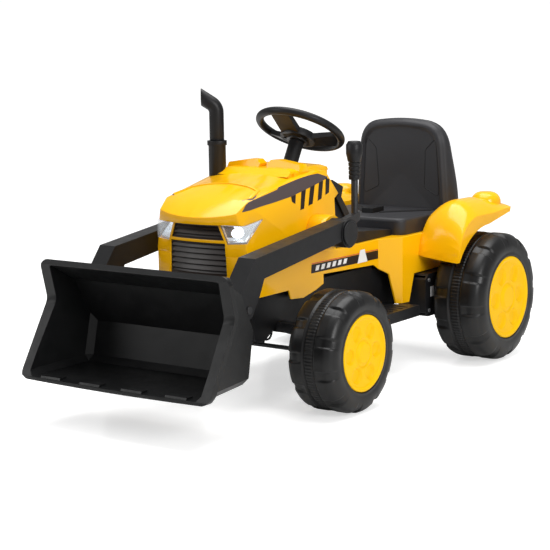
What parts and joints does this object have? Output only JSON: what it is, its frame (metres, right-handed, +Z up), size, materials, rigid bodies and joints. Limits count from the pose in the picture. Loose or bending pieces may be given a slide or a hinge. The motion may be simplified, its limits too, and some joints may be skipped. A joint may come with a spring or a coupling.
{
  "type": "ride-on toy digger",
  "caption": "Child's battery ride-on tractor with a tilting front loader bucket on two lifting arms, working steering linkage, moulded seat and rounded mudguards",
  "frame": {"origin": "on the ground, under the middle of the bounding box", "axes": "+X to the driver's left, -Y forwards (bucket end), +Z up"},
  "size_m": [0.634, 1.222, 0.6625],
  "materials": {
    "body_yellow": "gloss injection-moulded polypropylene",
    "wheel_yellow": "satin moulded polypropylene",
    "black_plastic": "matt moulded polypropylene",
    "seat_black": "fine-grained moulded plastic",
    "tread_black": "blow-moulded polyethylene with a slight sheen",
    "steel": "black-painted steel",
    "zinc_fasteners": "zinc-plated steel",
    "lamp_lens": "clear polycarbonate",
    "lamp_chrome": "vacuum-metallised plastic",
    "webbing": "woven polyester webbing",
    "wire_cover": "soft black cable sleeve",
    "battery_case": "dark grey battery case",
    "button_red": "gloss moulded button"
  },
  "bodies": {
    "chassis": {"chassis_frame": "black_plastic", "lower_body": "body_yellow", "hood": "body_yellow", "console": "black_plastic", "upper_grille": "black_plastic", "lower_grille": "black_plastic", "headlight_lens_left": "lamp_lens", "headlight_lens_right": "lamp_lens", "headlight_reflector_left": "lamp_chrome", "headlight_reflector_right": "lamp_chrome", "exhaust_base": "black_plastic", "exhaust_pipe": "black_plastic", "fender_left": "body_yellow", "fender_right": "body_yellow", "footrest_left": "black_plastic", "footrest_right": "black_plastic", "front_axle_beam": "steel", "gearbox_left": "black_plastic", "gearbox_right": "black_plastic", "drive_motors": "steel", "battery": "battery_case", "rear_axle": "steel", "rear_axle_nuts": "zinc_fasteners", "body_screws": "zinc_fasteners", "pivot_bracket_left": "body_yellow", "pivot_bracket_right": "body_yellow", "seat_base": "seat_black", "seat_back": "seat_black", "seat_belt_left": "webbing", "seat_belt_right": "webbing", "belt_buckle": "black_plastic", "steering_column": "black_plastic", "wiring_loop": "wire_cover"},
    "steering": {"steering_wheel": "black_plastic", "steering_shaft": "steel"},
    "horn": {"horn_button": "black_plastic"},
    "left_knuckle": {"knuckle_left": "steel", "front_nut_left": "zinc_fasteners"},
    "right_knuckle": {"knuckle_right": "steel", "front_nut_right": "zinc_fasteners"},
    "track_rod": {"tie_rod": "steel"},
    "front_left_wheel": {"front_left_tyre": "tread_black", "front_left_hub": "wheel_yellow"},
    "front_right_wheel": {"front_right_tyre": "tread_black", "front_right_hub": "wheel_yellow"},
    "rear_left_wheel": {"rear_left_tyre": "tread_black", "rear_left_hub": "wheel_yellow"},
    "rear_right_wheel": {"rear_right_tyre": "tread_black", "rear_right_hub": "wheel_yellow"},
    "loader_arms": {"arm_left": "black_plastic", "arm_right": "black_plastic", "arm_caps": "black_plastic", "arm_pivot_pins": "zinc_fasteners", "bucket_pins": "zinc_fasteners", "lift_lever": "steel", "lift_grip": "black_plastic"},
    "loader_bucket": {"bucket": "black_plastic"},
    "pedal": {"accelerator_pedal": "black_plastic"},
    "start": {"start_button": "button_red"},
    "direction": {"direction_switch": "black_plastic"}
  },
  "joints": [
    {"name": "arm_lift", "type": "hinge", "parent": "chassis", "child": "loader_arms", "pos_m": [0, -0.0535, 0.3555], "axis": [-1, 0, 0], "range_deg": [0, 35]},
    {"name": "bucket_tilt", "type": "hinge", "parent": "loader_arms", "child": "loader_bucket", "pos_m": [0, -0.417, 0.246], "axis": [1, 0, 0], "range_deg": [0, 30]},
    {"name": "steering", "type": "hinge", "parent": "chassis", "child": "steering", "pos_m": [0, 0.062, 0.563], "axis": [0, 0.497, 0.8678], "range_deg": [-35, 35]},
    {"name": "horn_press", "type": "slide", "parent": "steering", "child": "horn", "axis": [0, -0.497, -0.8678], "range_m": [0, 0.003], "stiffness_N_per_m": 400},
    {"name": "left_kingpin", "type": "hinge", "parent": "chassis", "child": "left_knuckle", "pos_m": [0.172, -0.167, 0.127], "axis": [0, 0, 1], "range_deg": [-20.5, 20.5]},
    {"name": "right_kingpin", "type": "hinge", "parent": "chassis", "child": "right_knuckle", "pos_m": [-0.172, -0.167, 0.127], "axis": [0, 0, 1], "range_deg": [-20.5, 20.5]},
    {"name": "track_rod_pivot", "type": "hinge", "parent": "left_knuckle", "child": "track_rod", "pos_m": [0.172, -0.107, 0.106], "axis": [0, 0, 1], "range_deg": [-20.5, 20.5]},
    {"name": "front_left_spin", "type": "hinge", "parent": "left_knuckle", "child": "front_left_wheel", "pos_m": [0.25, -0.167, 0.127], "axis": [1, 0, 0], "continuous": true},
    {"name": "front_right_spin", "type": "hinge", "parent": "right_knuckle", "child": "front_right_wheel", "pos_m": [-0.25, -0.167, 0.127], "axis": [1, 0, 0], "continuous": true},
    {"name": "rear_left_spin", "type": "hinge", "parent": "chassis", "child": "rear_left_wheel", "pos_m": [0.25, 0.461, 0.15], "axis": [1, 0, 0], "continuous": true},
    {"name": "rear_right_spin", "type": "hinge", "parent": "chassis", "child": "rear_right_wheel", "pos_m": [-0.25, 0.461, 0.15], "axis": [1, 0, 0], "continuous": true},
    {"name": "pedal_press", "type": "hinge", "parent": "chassis", "child": "pedal", "pos_m": [-0.154, 0.079, 0.164], "axis": [1, 0, 0], "range_deg": [0, 10], "stiffness_Nm_per_rad": 3, "springref_deg": -5.73},
    {"name": "start_press", "type": "slide", "parent": "chassis", "child": "start", "axis": [0, -0.4042, -0.9147], "range_m": [0, 0.002], "stiffness_N_per_m": 400},
    {"name": "direction_rock", "type": "hinge", "parent": "chassis", "child": "direction", "pos_m": [-0.058, 0.04648, 0.44393], "axis": [1, 0, 0], "range_deg": [-8, 8]}
  ],
  "couplings": [
    {"joint": "left_kingpin", "follows": "steering", "ratio": 0.58333},
    {"joint": "right_kingpin", "follows": "steering", "ratio": 0.58333},
    {"joint": "track_rod_pivot", "follows": "steering", "ratio": -0.58333}
  ]
}
